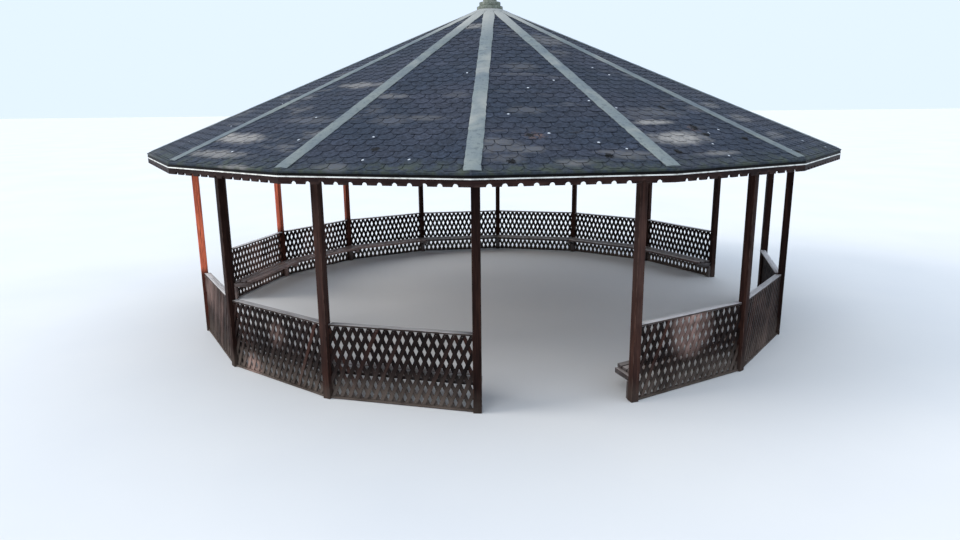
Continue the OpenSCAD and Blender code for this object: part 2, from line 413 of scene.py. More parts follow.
class Paint:
    """A material and its nodes. An input takes a number, a colour or another node's output. colour is what
    the tones laid so far have made."""

    def __init__(self, name):
        self.material = bpy.data.materials.new(name)
        self.material.use_nodes = True
        self.tree = self.material.node_tree
        self.place = self.node("TexCoord", {}, "Object")
        self.colour = None

    def put(self, socket, value):
        if isinstance(value, bpy.types.NodeSocket):
            self.tree.links.new(value, socket)
        else:
            socket.default_value = value

    def node(self, kind, inputs, output=0, **settings):
        """An output of a new node with the inputs and settings given."""
        made = self.tree.nodes.new("ShaderNode" + kind)
        for name, value in settings.items():
            setattr(made, name, value)
        for name, value in inputs.items():
            self.put(made.inputs[name], value)
        return made.outputs[output]

    def attribute(self, name, output="Fac"):
        return self.node("Attribute", {}, output, attribute_name=name)

    def part(self, vector, axis):
        return self.node("SeparateXYZ", {0: vector}, axis)

    def up(self):
        """How far the surface faces up."""
        return self.part(self.node("NewGeometry", {}, "Normal"), "Z")

    def math(self, operation, a, b, clamp=False):
        return self.node("Math", {0: a, 1: b}, operation=operation, use_clamp=clamp)

    def plus(self, a, b, clamp=False):
        return self.math("ADD", a, b, clamp)

    def times(self, product, *factors):
        for factor in factors:
            product = self.math("MULTIPLY", product, factor)
        return product

    def remap(self, value, low, high, to_low=0.0, to_high=1.0):
        inputs = {"Value": value, "From Min": low, "From Max": high, "To Min": to_low, "To Max": to_high}
        return self.node("MapRange", inputs, interpolation_type="SMOOTHSTEP")

    def scaled(self, vector, factors):
        return self.node("VectorMath", {0: vector, 1: factors}, operation="MULTIPLY")

    def distance(self, vector, point):
        return self.node("VectorMath", {0: vector, 1: point}, "Value", operation="DISTANCE")

    def noise(self, vector, scale, detail, roughness=0.5, distortion=0.0):
        """Noise at a scale, or at three scales along the vector's parts."""
        if isinstance(scale, tuple):
            vector = self.scaled(vector, scale)
            scale = 1.0
        inputs = {"Vector": vector, "Scale": scale, "Detail": detail, "Roughness": roughness}
        inputs["Distortion"] = distortion
        return self.node("TexNoise", inputs, "Fac")

    def spots(self, vector, scale, near, far, share):
        """Round spots in the plane of the vector's first two parts, in a share of the cells."""
        inputs = {"Vector": vector, "Scale": scale}
        away = self.node("TexVoronoi", inputs, "Distance", voronoi_dimensions="2D")
        cell = self.node("SeparateColor", {0: away.node.outputs["Color"]})
        return self.times(self.remap(away, far, near), self.math("LESS_THAN", cell, share))

    def specks(self, vector, marks, near, far, ragged):
        """Specks at marked places of the facets, with outlines as ragged as the value given."""
        nearest = None
        for i, v, u in marks:
            away = self.distance(vector, (v + facet_start(i), u, 0))
            nearest = away if nearest is None else self.math("MINIMUM", nearest, away)
        return self.remap(self.plus(nearest, ragged), far, near)

    def ramp(self, value, stops, tones):
        colour = self.node("ValToRGB", {"Fac": value}, "Color")
        band = colour.node.color_ramp
        while len(band.elements) < len(stops):
            band.elements.new(0.5)
        for element, stop, tone in zip(band.elements, stops, tones):
            element.position = stop
            element.color = rgb(*tone)
        return colour

    def mix(self, share, a, b, blend="MIX"):
        return self.node("Mix", {0: share, 6: a, 7: b}, 2, data_type="RGBA", blend_type=blend)

    def brighten(self, factor):
        grey = self.node("CombineColor", {0: factor, 1: factor, 2: factor})
        self.colour = self.mix(1.0, self.colour, grey, "MULTIPLY")

    def lay(self, tone, share):
        """Covers a share of the colour with a tone."""
        self.colour = self.mix(share, self.colour, rgb(*tone))

    def tinge(self, tone, value, low, high, share=1.0):
        """Lays up to a share of a tone, as the value goes from low to high."""
        self.lay(tone, self.remap(value, low, high, 0.0, share))

    def finish(self, roughness, relief=None, metallic=0.0, specular=0.5):
        """The material with its colour and roughness. relief gives a height, a distance and a strength."""
        inputs = {"Base Color": self.colour, "Roughness": roughness, "Metallic": metallic}
        inputs["Specular IOR Level"] = specular
        if relief:
            height, distance, strength = relief
            bump = {"Height": height, "Distance": distance, "Strength": strength}
            inputs["Normal"] = self.node("Bump", bump, "Normal")
        for name, value in inputs.items():
            self.put(self.tree.nodes["Principled BSDF"].inputs[name], value)
        return self.material


NO_RED = (1.0, 1.0, 1.0, 1)


def wood(name, stain, worn_and_glare, dusty, gloss=0.5, dust_high=0.5, dust_most=0.7, top_wear_and_glare=0.0,
         red=(1.35, 1.1, 1.0, 1), sunlit_above=0.0, painted_shade_above=None, sun_patches=(), shine=0.14):
    """Stained wood: grain along each board, a shade of its own for each, wear on the edges, and dust near the
    ground. stain gives its deep, middle and pale tones, the next tone that of its edges and of faces that
    look up, and dusty that of the dust. Boards of the highest tints are multiplied by red; on the posts that
    is painted sunlight, given fully above a height. The top factor says how pale faces that look up turn:
    wear, and on benches and handrails painted glare of the sky. Above the height given for it, painted shade
    turns the wood black, and shine says how much light the stain reflects. The patches given last are painted
    sunlight, a pinkish tan, with their centres, radii and strengths."""
    p = Paint(name)
    grain = p.attribute("grain", "Vector")
    tint = p.attribute("tint")
    height = p.part(p.place, "Z")
    broad = p.noise(grain, (1.3, 14, 14), 3, 0.55, 0.6)
    streaks = p.noise(grain, (4, 95, 95), 4, 0.6)
    fine = p.noise(grain, (14, 420, 420), 2)
    blotch = p.noise(p.place, 2.3, 4, 0.6)
    shade = p.plus(p.times(broad, 0.5), p.times(streaks, 0.5))
    shade = p.plus(shade, p.times(p.math("SUBTRACT", fine, 0.5), 0.25))
    p.colour = p.ramp(shade, (0.32, 0.50, 0.68), stain)
    p.brighten(p.remap(tint, 0.0, 1.0, 0.62, 1.45))
    # Boards of the highest tints turn red; on the posts this is painted sunlight, kept above a height
    reddened_and_sunlit = p.remap(tint, 0.80, 1.0)
    if sunlit_above:
        reddened_and_sunlit = p.times(reddened_and_sunlit, p.remap(height, sunlit_above - 0.10, sunlit_above + 0.06, 0.08, 1.0))
    p.colour = p.mix(reddened_and_sunlit, p.colour, p.mix(1.0, p.colour, red, "MULTIPLY"))
    crack = p.remap(p.noise(grain, (1.1, 60, 60), 2, 0.4, 0.8), 0.66, 0.70)
    p.colour = p.mix(p.times(crack, 0.7), p.colour, (0.008, 0.005, 0.004, 1))
    edge = p.times(p.remap(p.attribute("rim"), 0.45, 1.0), p.remap(p.noise(p.place, 9, 4, 0.7), 0.42, 0.62))
    # Faces that look up turn pale: wear, and on benches and handrails also painted glare of the sky
    top_pale_and_glare = p.times(
        p.remap(p.up(), 0.5, 0.95),
        p.remap(shade, 0.30, 0.62, 0.45, 1.0),
        p.remap(tint, 0.1, 0.9, top_wear_and_glare * 0.35, top_wear_and_glare),
    )
    wear = p.math("MAXIMUM", p.times(edge, 0.55), top_pale_and_glare)
    p.lay(worn_and_glare, wear)
    near_ground = p.remap(height, 0.0, dust_high, 1.0, 0.0)
    dust = p.times(near_ground, p.remap(blotch, 0.30, 0.62, 0.35, 1.0), dust_most)
    p.lay(dusty, dust)
    # Painted patches of sunlight, a pinkish tan
    for centre, radius, share in sun_patches:
        p.lay((196, 162, 150), p.times(
            p.remap(p.distance(p.place, centre), radius, radius * 0.2),
            p.remap(blotch, 0.36, 0.60, 0.3, 1.0),
            p.remap(tint, 0.0, 1.0, share * 0.6, share),
        ))
    # Painted shade: the wood turns black above a height, under the fold of the roof's edge
    if painted_shade_above:
        painted_shade = p.remap(height, painted_shade_above, painted_shade_above + 0.003)
        p.colour = p.mix(painted_shade, p.colour, (0.003, 0.003, 0.003, 1))
    rough = p.remap(shade, 0.3, 0.7, gloss + 0.16, gloss)
    rough = p.plus(rough, p.times(p.math("MAXIMUM", dust, wear), 0.25), clamp=True)
    relief = p.math("SUBTRACT", p.plus(streaks, p.times(fine, 0.4)), crack)
    return p.finish(rough, (relief, 0.0012, 0.7), specular=shine)


# Painted patches of sunlight on the roof, laid in a pale dust tone: facet, metres down the slope and along
# the eave, half its size each way, and how pale.
# The patches were picked by eye in the photo, and a scratch script worked out where they lie on the facets
SUNLIT_PATCHES = (
    (14, 3.11, 0.11, 0.1, 0.42, 0.75), (15, 3.47, -0.42, 0.08, 0.22, 0.6),
    (14, 4.61, -0.49, 0.13, 0.62, 0.95), (14, 5.0, -0.36, 0.1, 0.55, 0.8), (14, 5.25, 0.25, 0.06, 0.3, 0.8),
    (14, 4.12, 0.25, 0.12, 0.45, 0.4), (15, 1.0, -0.13, 0.14, 0.3, 0.8), (15, 3.46, 0.38, 0.1, 0.18, 0.35),
    (15, 4.07, 0.21, 0.07, 0.25, 0.45), (15, 5.19, -0.42, 0.1, 0.22, 0.5),
    (15, 4.12, -0.19, 0.16, 0.25, 0.35), (0, 4.76, -0.72, 0.12, 0.3, 0.45),
    (1, 4.64, -0.35, 0.16, 0.42, 1.0), (1, 4.24, -0.36, 0.07, 0.3, 0.95), (1, 5.0, -0.15, 0.06, 0.3, 0.7),
    (1, 4.08, -0.48, 0.1, 0.35, 0.35), (1, 3.9, 0.71, 0.12, 0.3, 0.5), (2, 4.16, -0.11, 0.1, 0.3, 0.4),
    (0, 2.59, -0.02, 0.14, 0.25, 0.4), (0, 3.89, -0.22, 0.1, 0.22, 0.4), (1, 1.58, -0.02, 0.25, 0.35, 0.55),
    (0, 4.81, -0.36, 0.08, 0.2, 0.5), (0, 5.09, 0.04, 0.08, 0.18, 0.6), (0, 4.98, -0.6, 0.1, 0.2, 0.4),
    (2, 3.81, -0.23, 0.1, 0.3, 0.6), (2, 4.22, -0.18, 0.12, 0.34, 0.6), (2, 4.7, -0.3, 0.1, 0.35, 0.55),
    (1, 3.98, -0.12, 0.14, 0.45, 0.45),
)
# Droppings, black bits and leaves on the facets in front: facet, metres down the slope and along the eave.
# The places of the white and black specks were printed by a scratch script that searched the photo for spots
WHITE_SPECKS = (
    (0, 3.05, 0.29), (0, 3.27, -0.06), (0, 3.65, 0.55), (0, 3.98, -0.41), (0, 4.45, -0.08), (0, 4.68, 0.37),
    (0, 4.83, 0.61), (1, 2.61, 0.02), (1, 2.85, 0.11), (1, 3.85, -0.58), (1, 4.47, 0.4), (1, 4.54, 0.18),
    (1, 4.8, -0.02), (1, 5.07, -0.06), (2, 4.91, 0.22), (2, 5.03, -0.8), (2, 5.13, 0.56), (14, 4.05, 0.28),
    (14, 4.6, 0.57), (14, 4.93, -0.16), (15, 2.79, 0.32), (15, 4.52, -0.24), (15, 5.0, 0.29),
    (15, 5.02, -0.17),
)
BLACK_SPECKS = (
    (0, 4.97, 0.39), (0, 4.49, -0.28), (0, 5.04, -0.56), (1, 4.38, 0.1), (1, 4.43, 0.07), (1, 3.86, 0.09),
    (1, 4.58, 0.09), (1, 4.72, 0.57), (1, 4.92, -0.64), (2, 4.69, 0.37), (2, 5.1, -0.72), (2, 3.7, 0.14),
    (2, 5.16, 0.36), (15, 4.79, -0.12),
)
LEAVES = ((0, 4.50, -0.26), (0, 4.49, -0.20), (1, 4.43, 0.06))
# Moss keeps below these heights: where it is thickest, and where it ends
MOSS_HEIGHTS = (2.545, 2.68)


def shingle_paint():
    """Mineral granules on tabs, dust patches along the rows, painted patches of sunlight, moss near the eave,
    painted shade with some dirt along the tabs' edges, white and black specks.
    """
    p = Paint("asphalt_granules")
    grain = p.attribute("grain", "Vector")
    grit = p.noise(p.place, 330, 3, 0.7)
    mottle = p.noise(p.place, 26, 4, 0.65)
    tones = ((41, 51, 64), (47, 57, 72), (53, 63, 79), (64, 72, 87))
    p.colour = p.ramp(p.attribute("tint"), (0.0, 0.45, 0.80, 1.0), tones)
    p.tinge((66, 68, 80), p.noise(grain, (1.1, 0.7, 1.0), 4, 0.6), 0.38, 0.68, 0.5)
    darker = p.mix(1.0, p.colour, rgb(158, 160, 168), "MULTIPLY")
    p.colour = p.mix(p.remap(mottle, 0.34, 0.66), p.colour, darker)
    p.tinge((118, 120, 126), grit, 0.60, 0.78, 0.42)
    p.tinge((24, 26, 31), grit, 0.40, 0.26, 0.5)
    # Dust lies in soft patches that are long across the slope
    dusty = p.remap(p.noise(grain, (2.6, 0.85, 1.0), 5, 0.58, 0.35), 0.56, 0.74, 0.0, 0.30)
    ragged = p.times(p.math("SUBTRACT", p.noise(grain, 5.0, 5, 0.62), 0.5), 1.6)
    # Painted patches of sunlight at the listed places, in the dust's tone
    for i, v, u, half_v, half_u, pale in SUNLIT_PATCHES:
        factors = (1 / half_v, 1 / half_u, 0)
        offset = (-(v + facet_start(i)) / half_v, -u / half_u, 0)
        at = p.node("VectorMath", {0: grain, 1: factors, 2: offset}, operation="MULTIPLY_ADD")
        away = p.node("VectorMath", {0: at}, "Value", operation="LENGTH")
        sun_patch = p.remap(p.plus(away, ragged), 1.25, 0.35, 0.0, 0.86 * pale * pale)
        dusty = p.math("MAXIMUM", dusty, sun_patch)
    # Lays the dust and the painted sunlight
    p.lay((158, 154, 148), p.times(dusty, p.remap(mottle, 0.28, 0.62, 0.55, 1.0)))
    # Moss keeps to the lowest rows. Painted shade, with some dirt, lies along the tabs' edges and in the gaps
    # between them
    low = p.remap(p.part(p.place, "Z"), *MOSS_HEIGHTS, 1.0, 0.0)
    p.lay((66, 74, 58), p.times(low, p.remap(p.noise(p.place, 5.5, 5, 0.65), 0.44, 0.66, 0.10, 0.75)))
    p.tinge((22, 25, 31), p.attribute("rim"), 0.25, 1.0, 0.64)
    along_all = p.part(grain, "X")
    behind = p.times(
        p.math("GREATER_THAN", along_all, facet_start(3) - 0.5),
        p.math("LESS_THAN", along_all, facet_start(14) - 0.5),
    )
    torn = p.math("SUBTRACT", p.noise(grain, 34, 3, 0.6), 0.5)

    def litter(stretch, spots, marks, near, far, ragged):
        """Random spots on the facets behind, and specks at the marked places of those in front."""
        random_ones = p.times(p.spots(p.scaled(grain, stretch), *spots), behind)
        return p.math("MAXIMUM", random_ones, p.specks(grain, marks, near, far, p.times(torn, ragged)))

    white = litter((1.0, 1.0, 1.0), (1.9, 0.010, 0.020, 0.45), WHITE_SPECKS, 0.008, 0.017, 0.03)
    p.lay((206, 212, 218), p.times(white, 0.9))
    leaf = litter((1.9, 0.8, 1.0), (1.6, 0.018, 0.040, 0.45), LEAVES, 0.02, 0.11, 0.20)
    p.lay((108, 86, 78), p.times(leaf, p.remap(mottle, 0.42, 0.54), 0.6))
    p.lay((6, 7, 10), litter((1.0, 0.8, 1.0), (1.3, 0.014, 0.024, 0.4), BLACK_SPECKS, 0.040, 0.050, 0.11))
    rough = p.remap(grit, 0.3, 0.7, 0.95, 0.82)
    return p.finish(rough, (p.plus(grit, mottle), 0.0016, 0.6), specular=0.25)


def membrane_paint():
    """Pale green and grey granules of the strips over the hips, with pale patches of dust and painted
    sunlight, dark patches of stains and painted dappled shade, and a paler top.
    """
    p = Paint("hip_membrane_granules")
    grit = p.noise(p.place, 360, 3, 0.7)
    cloud = p.noise(p.place, 2.1, 5, 0.6)
    small = p.noise(p.place, 19, 4, 0.65)
    p.colour = p.ramp(cloud, (0.34, 0.50, 0.66), ((98, 108, 115), (110, 119, 121), (122, 129, 126)))
    p.brighten(p.remap(p.attribute("tint"), 0.0, 1.0, 0.92, 1.08))
    # Dark patches: stains, and painted dappled shade
    p.tinge((78, 88, 93), small, 0.48, 0.70, 0.62)
    p.tinge((160, 166, 162), grit, 0.58, 0.74, 0.45)
    p.tinge((64, 73, 76), grit, 0.42, 0.28, 0.45)
    # Pale patches: dust, and painted dappled sunlight
    p.tinge((160, 160, 152), p.noise(p.place, 1.15, 3, 0.55, 0.4), 0.54, 0.68, 0.60)
    p.tinge((158, 159, 154), p.part(p.place, "Z"), 3.95, 4.42, 0.8)
    dirty = p.times(p.remap(p.attribute("rim"), 0.3, 1.0), p.remap(small, 0.40, 0.60, 0.2, 0.8))
    p.lay((66, 72, 72), dirty)
    return p.finish(0.92, (p.plus(grit, small), 0.0014, 0.6), specular=0.25)


def moss_paint():
    """Weathered wood under a skin of green moss."""
    p = Paint("mossy_finial")
    up = p.up()
    streaks = p.noise(p.place, (46, 46, 5), 4, 0.6)
    growth = p.noise(p.place, 24, 6, 0.68)
    clumps = p.noise(p.place, 90, 4, 0.7)
    p.colour = p.ramp(streaks, (0.30, 0.52, 0.72), ((86, 88, 82), (122, 124, 116), (152, 153, 145)))
    cover = p.plus(p.remap(growth, 0.34, 0.60), p.remap(up, 0.1, 0.9, 0.0, 0.35), clamp=True)
    green = p.ramp(clumps, (0.30, 0.50, 0.72), ((62, 72, 60), (100, 112, 98), (142, 152, 138)))
    p.colour = p.mix(p.times(cover, 0.70), p.colour, green)
    # Faces that look up turn paler, a painted highlight
    p.tinge((178, 184, 170), up, 0.4, 0.9, 0.5)
    relief = p.plus(p.times(cover, 0.7), p.times(clumps, 0.6))
    return p.finish(0.93, (relief, 0.005, 0.8), specular=0.2)


def metal_paint(name, bright, dull, rough_low, rough_high, painted_shadow_above=None):
    """Sheet metal or a screw's head, with dull streaks, and black above a given height, painted shadow under
    the fold of the roof's edge.
    """
    p = Paint(name)
    streaks = p.noise(p.place, 11, 5, 0.65)
    p.colour = rgb(*bright)
    p.tinge(dull, streaks, 0.42, 0.68, 0.7)
    # Painted shadow: black above a height
    if painted_shadow_above:
        p.tinge((16, 16, 18), p.part(p.place, "Z"), painted_shadow_above, painted_shadow_above + 0.0015)
    rough = p.remap(streaks, 0.3, 0.7, rough_low, rough_high)
    return p.finish(rough, (p.noise(p.place, 120, 3, 0.6), 0.0004, 0.5), metallic=0.35)


# Painted patches of sunlight, a pinkish tan: centre, radius and how strong
SUNLIT_SLATS = (
    ((1.62, -3.95, 0.69), 0.42, 1.00),
    ((-3.03, -3.02, 0.58), 0.22, 0.18),
    ((-3.36, -2.69, 0.06), 0.22, 0.50),
    ((-3.95, 1.64, 0.50), 1.10, 0.45),
    ((-3.02, 3.02, 0.50), 0.80, 0.25),
    ((-3.95, -1.64, 0.60), 0.90, 0.20),
    ((-4.15, -1.05, 0.78), 0.60, 0.45),
    ((3.02, -3.02, 0.40), 0.90, 0.10),
)
SUNLIT_POSTS = (
    ((0.85, -4.27, 1.50), 1.60, 0.05),
    ((-2.42, -3.63, 1.50), 1.60, 0.03),
)
SUNLIT_PLANKS = (
    ((-3.75, 1.55, 0.31), 1.40, 1.00),
    ((-2.80, 2.80, 0.31), 1.30, 0.90),
    ((-1.50, 3.70, 0.31), 1.10, 0.60),
)

# The posts' red factor paints sunlight on the posts of the highest tints, above the rail
post_wood = wood(
    "stained_posts", ((23, 14, 12), (42, 25, 21), (66, 43, 35)), (118, 96, 84), (96, 86, 78),
    gloss=0.46, dust_high=0.30, dust_most=0.45, red=(17.0, 9.2, 6.4, 1), sunlit_above=0.92,
    sun_patches=SUNLIT_POSTS, shine=0.05,
)
lattice_wood = wood(
    "stained_lattice", ((13, 9, 9), (24, 17, 16), (42, 29, 25)), (84, 66, 57), (92, 82, 75),
    gloss=0.46, dust_high=0.44, dust_most=0.90, red=(2.4, 1.7, 1.4, 1), sun_patches=SUNLIT_SLATS, shine=0.07,
)
# The handrails' pale tops are weathering and painted highlight
rail_wood = wood(
    "handrail_boards", ((34, 27, 26), (52, 42, 38), (76, 62, 55)), (238, 236, 236), (92, 82, 74),
    dust_high=0.2, dust_most=0.3, top_wear_and_glare=0.95, red=NO_RED,
)
# The planks' pale tops are wear and painted glare of the sky
bench_wood = wood(
    "bench_planks", ((24, 17, 16), (42, 29, 26), (64, 46, 40)), (204, 196, 192), (92, 84, 76),
    gloss=0.26, dust_high=0.25, dust_most=0.4, top_wear_and_glare=0.76, sun_patches=SUNLIT_PLANKS, shine=0.60,
)
frame_wood = wood(
    "roof_frame_wood", ((30, 18, 14), (52, 32, 24), (78, 50, 37)), (96, 74, 58), (92, 80, 68),
    dust_high=0.3, dust_most=0.3,
)
deck_wood = wood(
    "roof_boards_underside", ((58, 38, 27), (92, 63, 43), (126, 92, 63)), (130, 104, 80), (110, 96, 82),
    gloss=0.55, dust_high=0.2, dust_most=0.2,
)
# The fascia's top is painted black, painted shade under the fold of the roof's edge
fascia_wood = wood(
    "stained_fascia", ((20, 12, 12), (34, 21, 20), (54, 33, 29)), (80, 62, 54), (84, 74, 66),
    gloss=0.48, dust_high=0.2, dust_most=0.2, painted_shade_above=EAVE_UNDER - 0.0195, shine=0.07,
)
shingle_skin = shingle_paint()
membrane_skin = membrane_paint()
moss_skin = moss_paint()
# The drip strips' top is painted black, painted shadow under the fold of the roof's edge
drip_skin = metal_paint(
    "bright_drip_metal", (222, 222, 216), (150, 147, 140), 0.40, 0.65, painted_shadow_above=EAVE_UNDER - 0.0232
)
screw_skin = metal_paint("screw_heads", (120, 116, 110), (74, 58, 48), 0.35, 0.7)

# Posts: eased edges, a slight bow, each with a shade of its own

# Shades of the posts in their order round the ring. Those over 0.8 are painted red-orange above the rail,
# painted sunlight on a reddish stain
POST_TINTS_AND_SUN = (1.0, 0.15, 0.50, 0.10, 0.72, 0.50, 0.10, 0.10, 0.25, 0.45, 0.60, 0.40, 0.45, 0.87, 0.95, 0.40)
# How far a post may bow. Its section is that much smaller, so that it stays inside the part's solid
BOW = 0.0012


def make_posts():
    section, corner = rounded(POST_W, POST_W, 0.006, 3)
    section = section * (1 - BOW / POST_W)
    ease = 0.003
    heights = [0.0, ease, *(POST_H * n / 12 for n in range(1, 12)), POST_H - ease, POST_H]
    for k in range(SIDES):
        rng = random.Random(100 + k)
        form = Form()
        bow = np.array([rng.uniform(-BOW, BOW) for _ in range(2)])
        rings = []
        for z in heights:
            shrink = 1 - ease / (POST_W / 2) if z in (0.0, POST_H) else 1.0
            rings.append((section * shrink + bow * math.sin(math.pi * z / POST_H), z))
        rings = levels(*rings)
        place = in_frame(post_frame(k), post_frame(k)[0] * POST_R)
        form.loft(rings, rings[..., [2, 0, 1]] + shift(rng), corner, POST_TINTS_AND_SUN[k], place)
        name = f"post_{k + 1:02d}"
        form.make("wood_" + name, post_wood, [name], 50)


# Lattice panels: two layers of crossing slats, a bottom rail and nail heads

# How far a panel's slats and bottom rail stop short of the posts
PANEL_PLAY = 0.0008


def make_lattice():
    sill = rounded(SILL_W, SILL_H - 0.001, 0.003, centre=(BAY_R, SILL_GAP + SILL_H / 2))
    for j, bay in enumerate(PANEL_BAYS):
        rng = random.Random(300 + j)
        form = Form()
        nails = Form()
        make_layer(form, nails, bay, 1, rng)
        make_layer(form, nails, bay, -1, rng)
        bar(form, sill, beside_post(PANEL_PLAY), bay_frame(bay), (0.2, 0.7), rng, 0.0015)
        name = f"lattice_panel_{j + 1:02d}"
        form.make("slats_" + name, lattice_wood, [name])
        nails.make("nails_" + name, screw_skin)


def make_layer(form, nails, bay, side, rng):
    """The slats and nails of a panel's outer layer (side 1) or inner layer (side -1). The layers are pressed
    together, and the inner one stops at the face of the outer one."""
    out, along, up = bay_frame(bay)
    top = RAIL_H - RAIL_T
    first = top - LATTICE_DROP + (LATTICE_RISE if bay == RAISED_BAY else 0.0)
    if side > 0:
        low = BAY_R
        high = BAY_R + SLAT_T
        face = high
        nail = (0.0035, 0.0012)
        nail_rows = (top - 0.018, SILL_TOP + 0.016)
    else:
        low = BAY_R - SLAT_T + SLAT_PRESS
        high = BAY_R
        face = low
        nail = (0.0030, 0.0010)
        nail_rows = [first - LATTICE_ROW * m for m in (2, 4, 6)]
    clear = BAY_W - POST_W / COS
    col = clear / LATTICE_COLS
    lean = math.atan(col / 2 / LATTICE_ROW)
    reach = post_side(side * SLAT_T / 2)
    extra = math.ceil(first / LATTICE_ROW / 2) + 1
    for n in range(-extra, LATTICE_COLS + extra + 1):
        # A slat leans about its topmost crossing, and each is a little off its place
        y = (n - LATTICE_SHIFT) * col - clear / 2 + rng.gauss(0, 0.0012)
        tilt = side * lean + rng.gauss(0, 0.0016)
        half = SLAT_W / 2 + rng.gauss(0, 0.0004)
        start = np.array([y, first])
        down = np.array([-math.sin(tilt), -math.cos(tilt)])
        square = np.array([math.cos(tilt), -math.sin(tilt)])
        corners = ((-1, -0.1), (1, -0.1), (1, 1.2), (-1, 1.2))
        outline = [start + a * half * square + b * down for a, b in corners]
        outline = cut(outline, (0, 1, top - 0.0005), (0, -1, -(SILL_GAP + SILL_H * 0.2)),
                      (1, 0, reach - PANEL_PLAY), (-1, 0, reach - PANEL_PLAY))
        if len(outline) < 3:
            continue
        plate(form, outline, low + 0.0002, high - 0.0002, 0.0014, in_frame([along, up, out]), down,
              (0.1, 0.95), rng)
        for z in nail_rows:
            nail_y = y + (first - z) / math.cos(tilt) * down[0]
            if abs(nail_y) < reach - 0.012 and z > SILL_TOP:
                disc(nails, out * face + along * nail_y + up * z, side * out, *nail, rng)


# Handrails: boards with rounded edges and five screws each

# Bays whose handrail is darker, with less of its top turned pale
DARK_RAILS = (14, 15)
RAIL_SCREWS_Y = (-0.78, -0.40, 0.0, 0.40, 0.78)


def make_handrails():
    rng = random.Random(500)
    form = Form()
    screws = Form()
    middle = BAY_R + RAIL_OUT - RAIL_W / 2
    board = rounded(RAIL_W - 0.001, RAIL_T - 0.0008, 0.005, 3, (middle, RAIL_H - RAIL_T / 2))
    for bay in PANEL_BAYS:
        out, along, up = bay_frame(bay)
        tints = (0.25, 0.40) if bay in DARK_RAILS else (0.65, 0.95)
        bar(form, board, beside_post(0.001), bay_frame(bay), tints, rng, 0.002,
            stations=(0.2, 0.4, 0.6, 0.8), sway=0.0003)
        for y in RAIL_SCREWS_Y:
            at = out * (middle + rng.uniform(-0.004, 0.004)) + along * y + up * (RAIL_H - 0.0012)
            disc(screws, at, up, 0.0048, 0.0012, rng)
    form.make("handrail_boards", rail_wood, ["handrails"], 50)
    screws.make("handrail_screws", screw_skin)


# Benches: planks with rounded edges, screws, bearers and legs


def make_benches():
    rng = random.Random(600)
    screws = Form()
    end = mitre(0.002 / COS)
    for node, bays in BENCH_BAYS.items():
        form = Form()
        for bay in bays:
            out, along, up = bay_frame(bay)
            for n in range(PLANK_N):
                r = BAY_R - SEAT_IN - n * (PLANK_W + PLANK_GAP) - PLANK_W / 2
                plank = rounded(PLANK_W - 0.001, PLANK_T - 0.001, 0.007, 3, (r, SEAT_H - PLANK_T / 2))
                bar(form, plank, end, bay_frame(bay), (0.1, 0.95), rng, 0.004,
                    stations=(0.25, 0.5, 0.75), sway=0.0004)
                for s in (-1, 1):
                    for x in (r - 0.024, r + 0.024):
                        at = out * x + along * s * (end(x) - 0.016) + up * (SEAT_H - 0.0014)
                        disc(screws, at, up, 0.0050, 0.0014, rng)
        form.make("planks_" + node, bench_wood, [node], 50)
    screws.make("bench_screws", screw_skin)
    make_bench_supports(rng)


def make_bench_supports(rng):
    """A bearer and a leg at the inner side of each post that carries a bench."""
    seat_under = SEAT_H - PLANK_T
    seat_depth = PLANK_N * PLANK_W + (PLANK_N - 1) * PLANK_GAP
    bearer_in = POST_R - (SEAT_IN + seat_depth) / COS + PLANK_GAP
    post_in = POST_R - POST_W / 2
    play = 0.0005
    bearer = rounded(BEARER_W - 0.001, BEARER_H - 0.001, 0.004, centre=(0, seat_under - BEARER_H / 2))
    leg = rounded(LEG_D - 0.001, BEARER_W - 0.001, 0.004, centre=(post_in - LEG_D / 2 - 0.0004, 0))
    bearers = Form()
    legs = Form()
    for k in BENCH_POSTS:
        out, along, up = post_frame(k)
        bar(bearers, bearer, square_end(post_in - play), [-along, out, up], (0.1, 0.8), rng,
            start=square_end(bearer_in))
        bar(legs, leg, square_end(seat_under - BEARER_H - play), [out, up, -along], (0.1, 0.8), rng,
            start=square_end(0))
    bearers.make("bench_bearer_timbers", bench_wood, ["bench_bearers"], 50)
    legs.make("bench_leg_timbers", bench_wood, ["bench_legs"], 50)


# Roof frame: ring beams, hip rafters, purlins and the hub

# The frame's timbers stay this far under the roof boards
UNDER_DECK = 0.0004


def make_frame():
    rng = random.Random(700)
    make_beams(rng)
    make_rafters(rng)
    make_purlins(rng)
    make_hub()


def make_beams(rng):
    beams = Form()
    beam = rounded(BEAM_W - 0.001, BEAM_H - 0.001, 0.005, centre=(BAY_R, POST_H + BEAM_H / 2))
    for bay in range(SIDES):
        bar(beams, beam, mitre(0.0006), bay_frame(bay), (0.2, 0.8), rng, 0.002)
    beams.make("ring_beam_timbers", frame_wood, ["ring_beams"], 50)


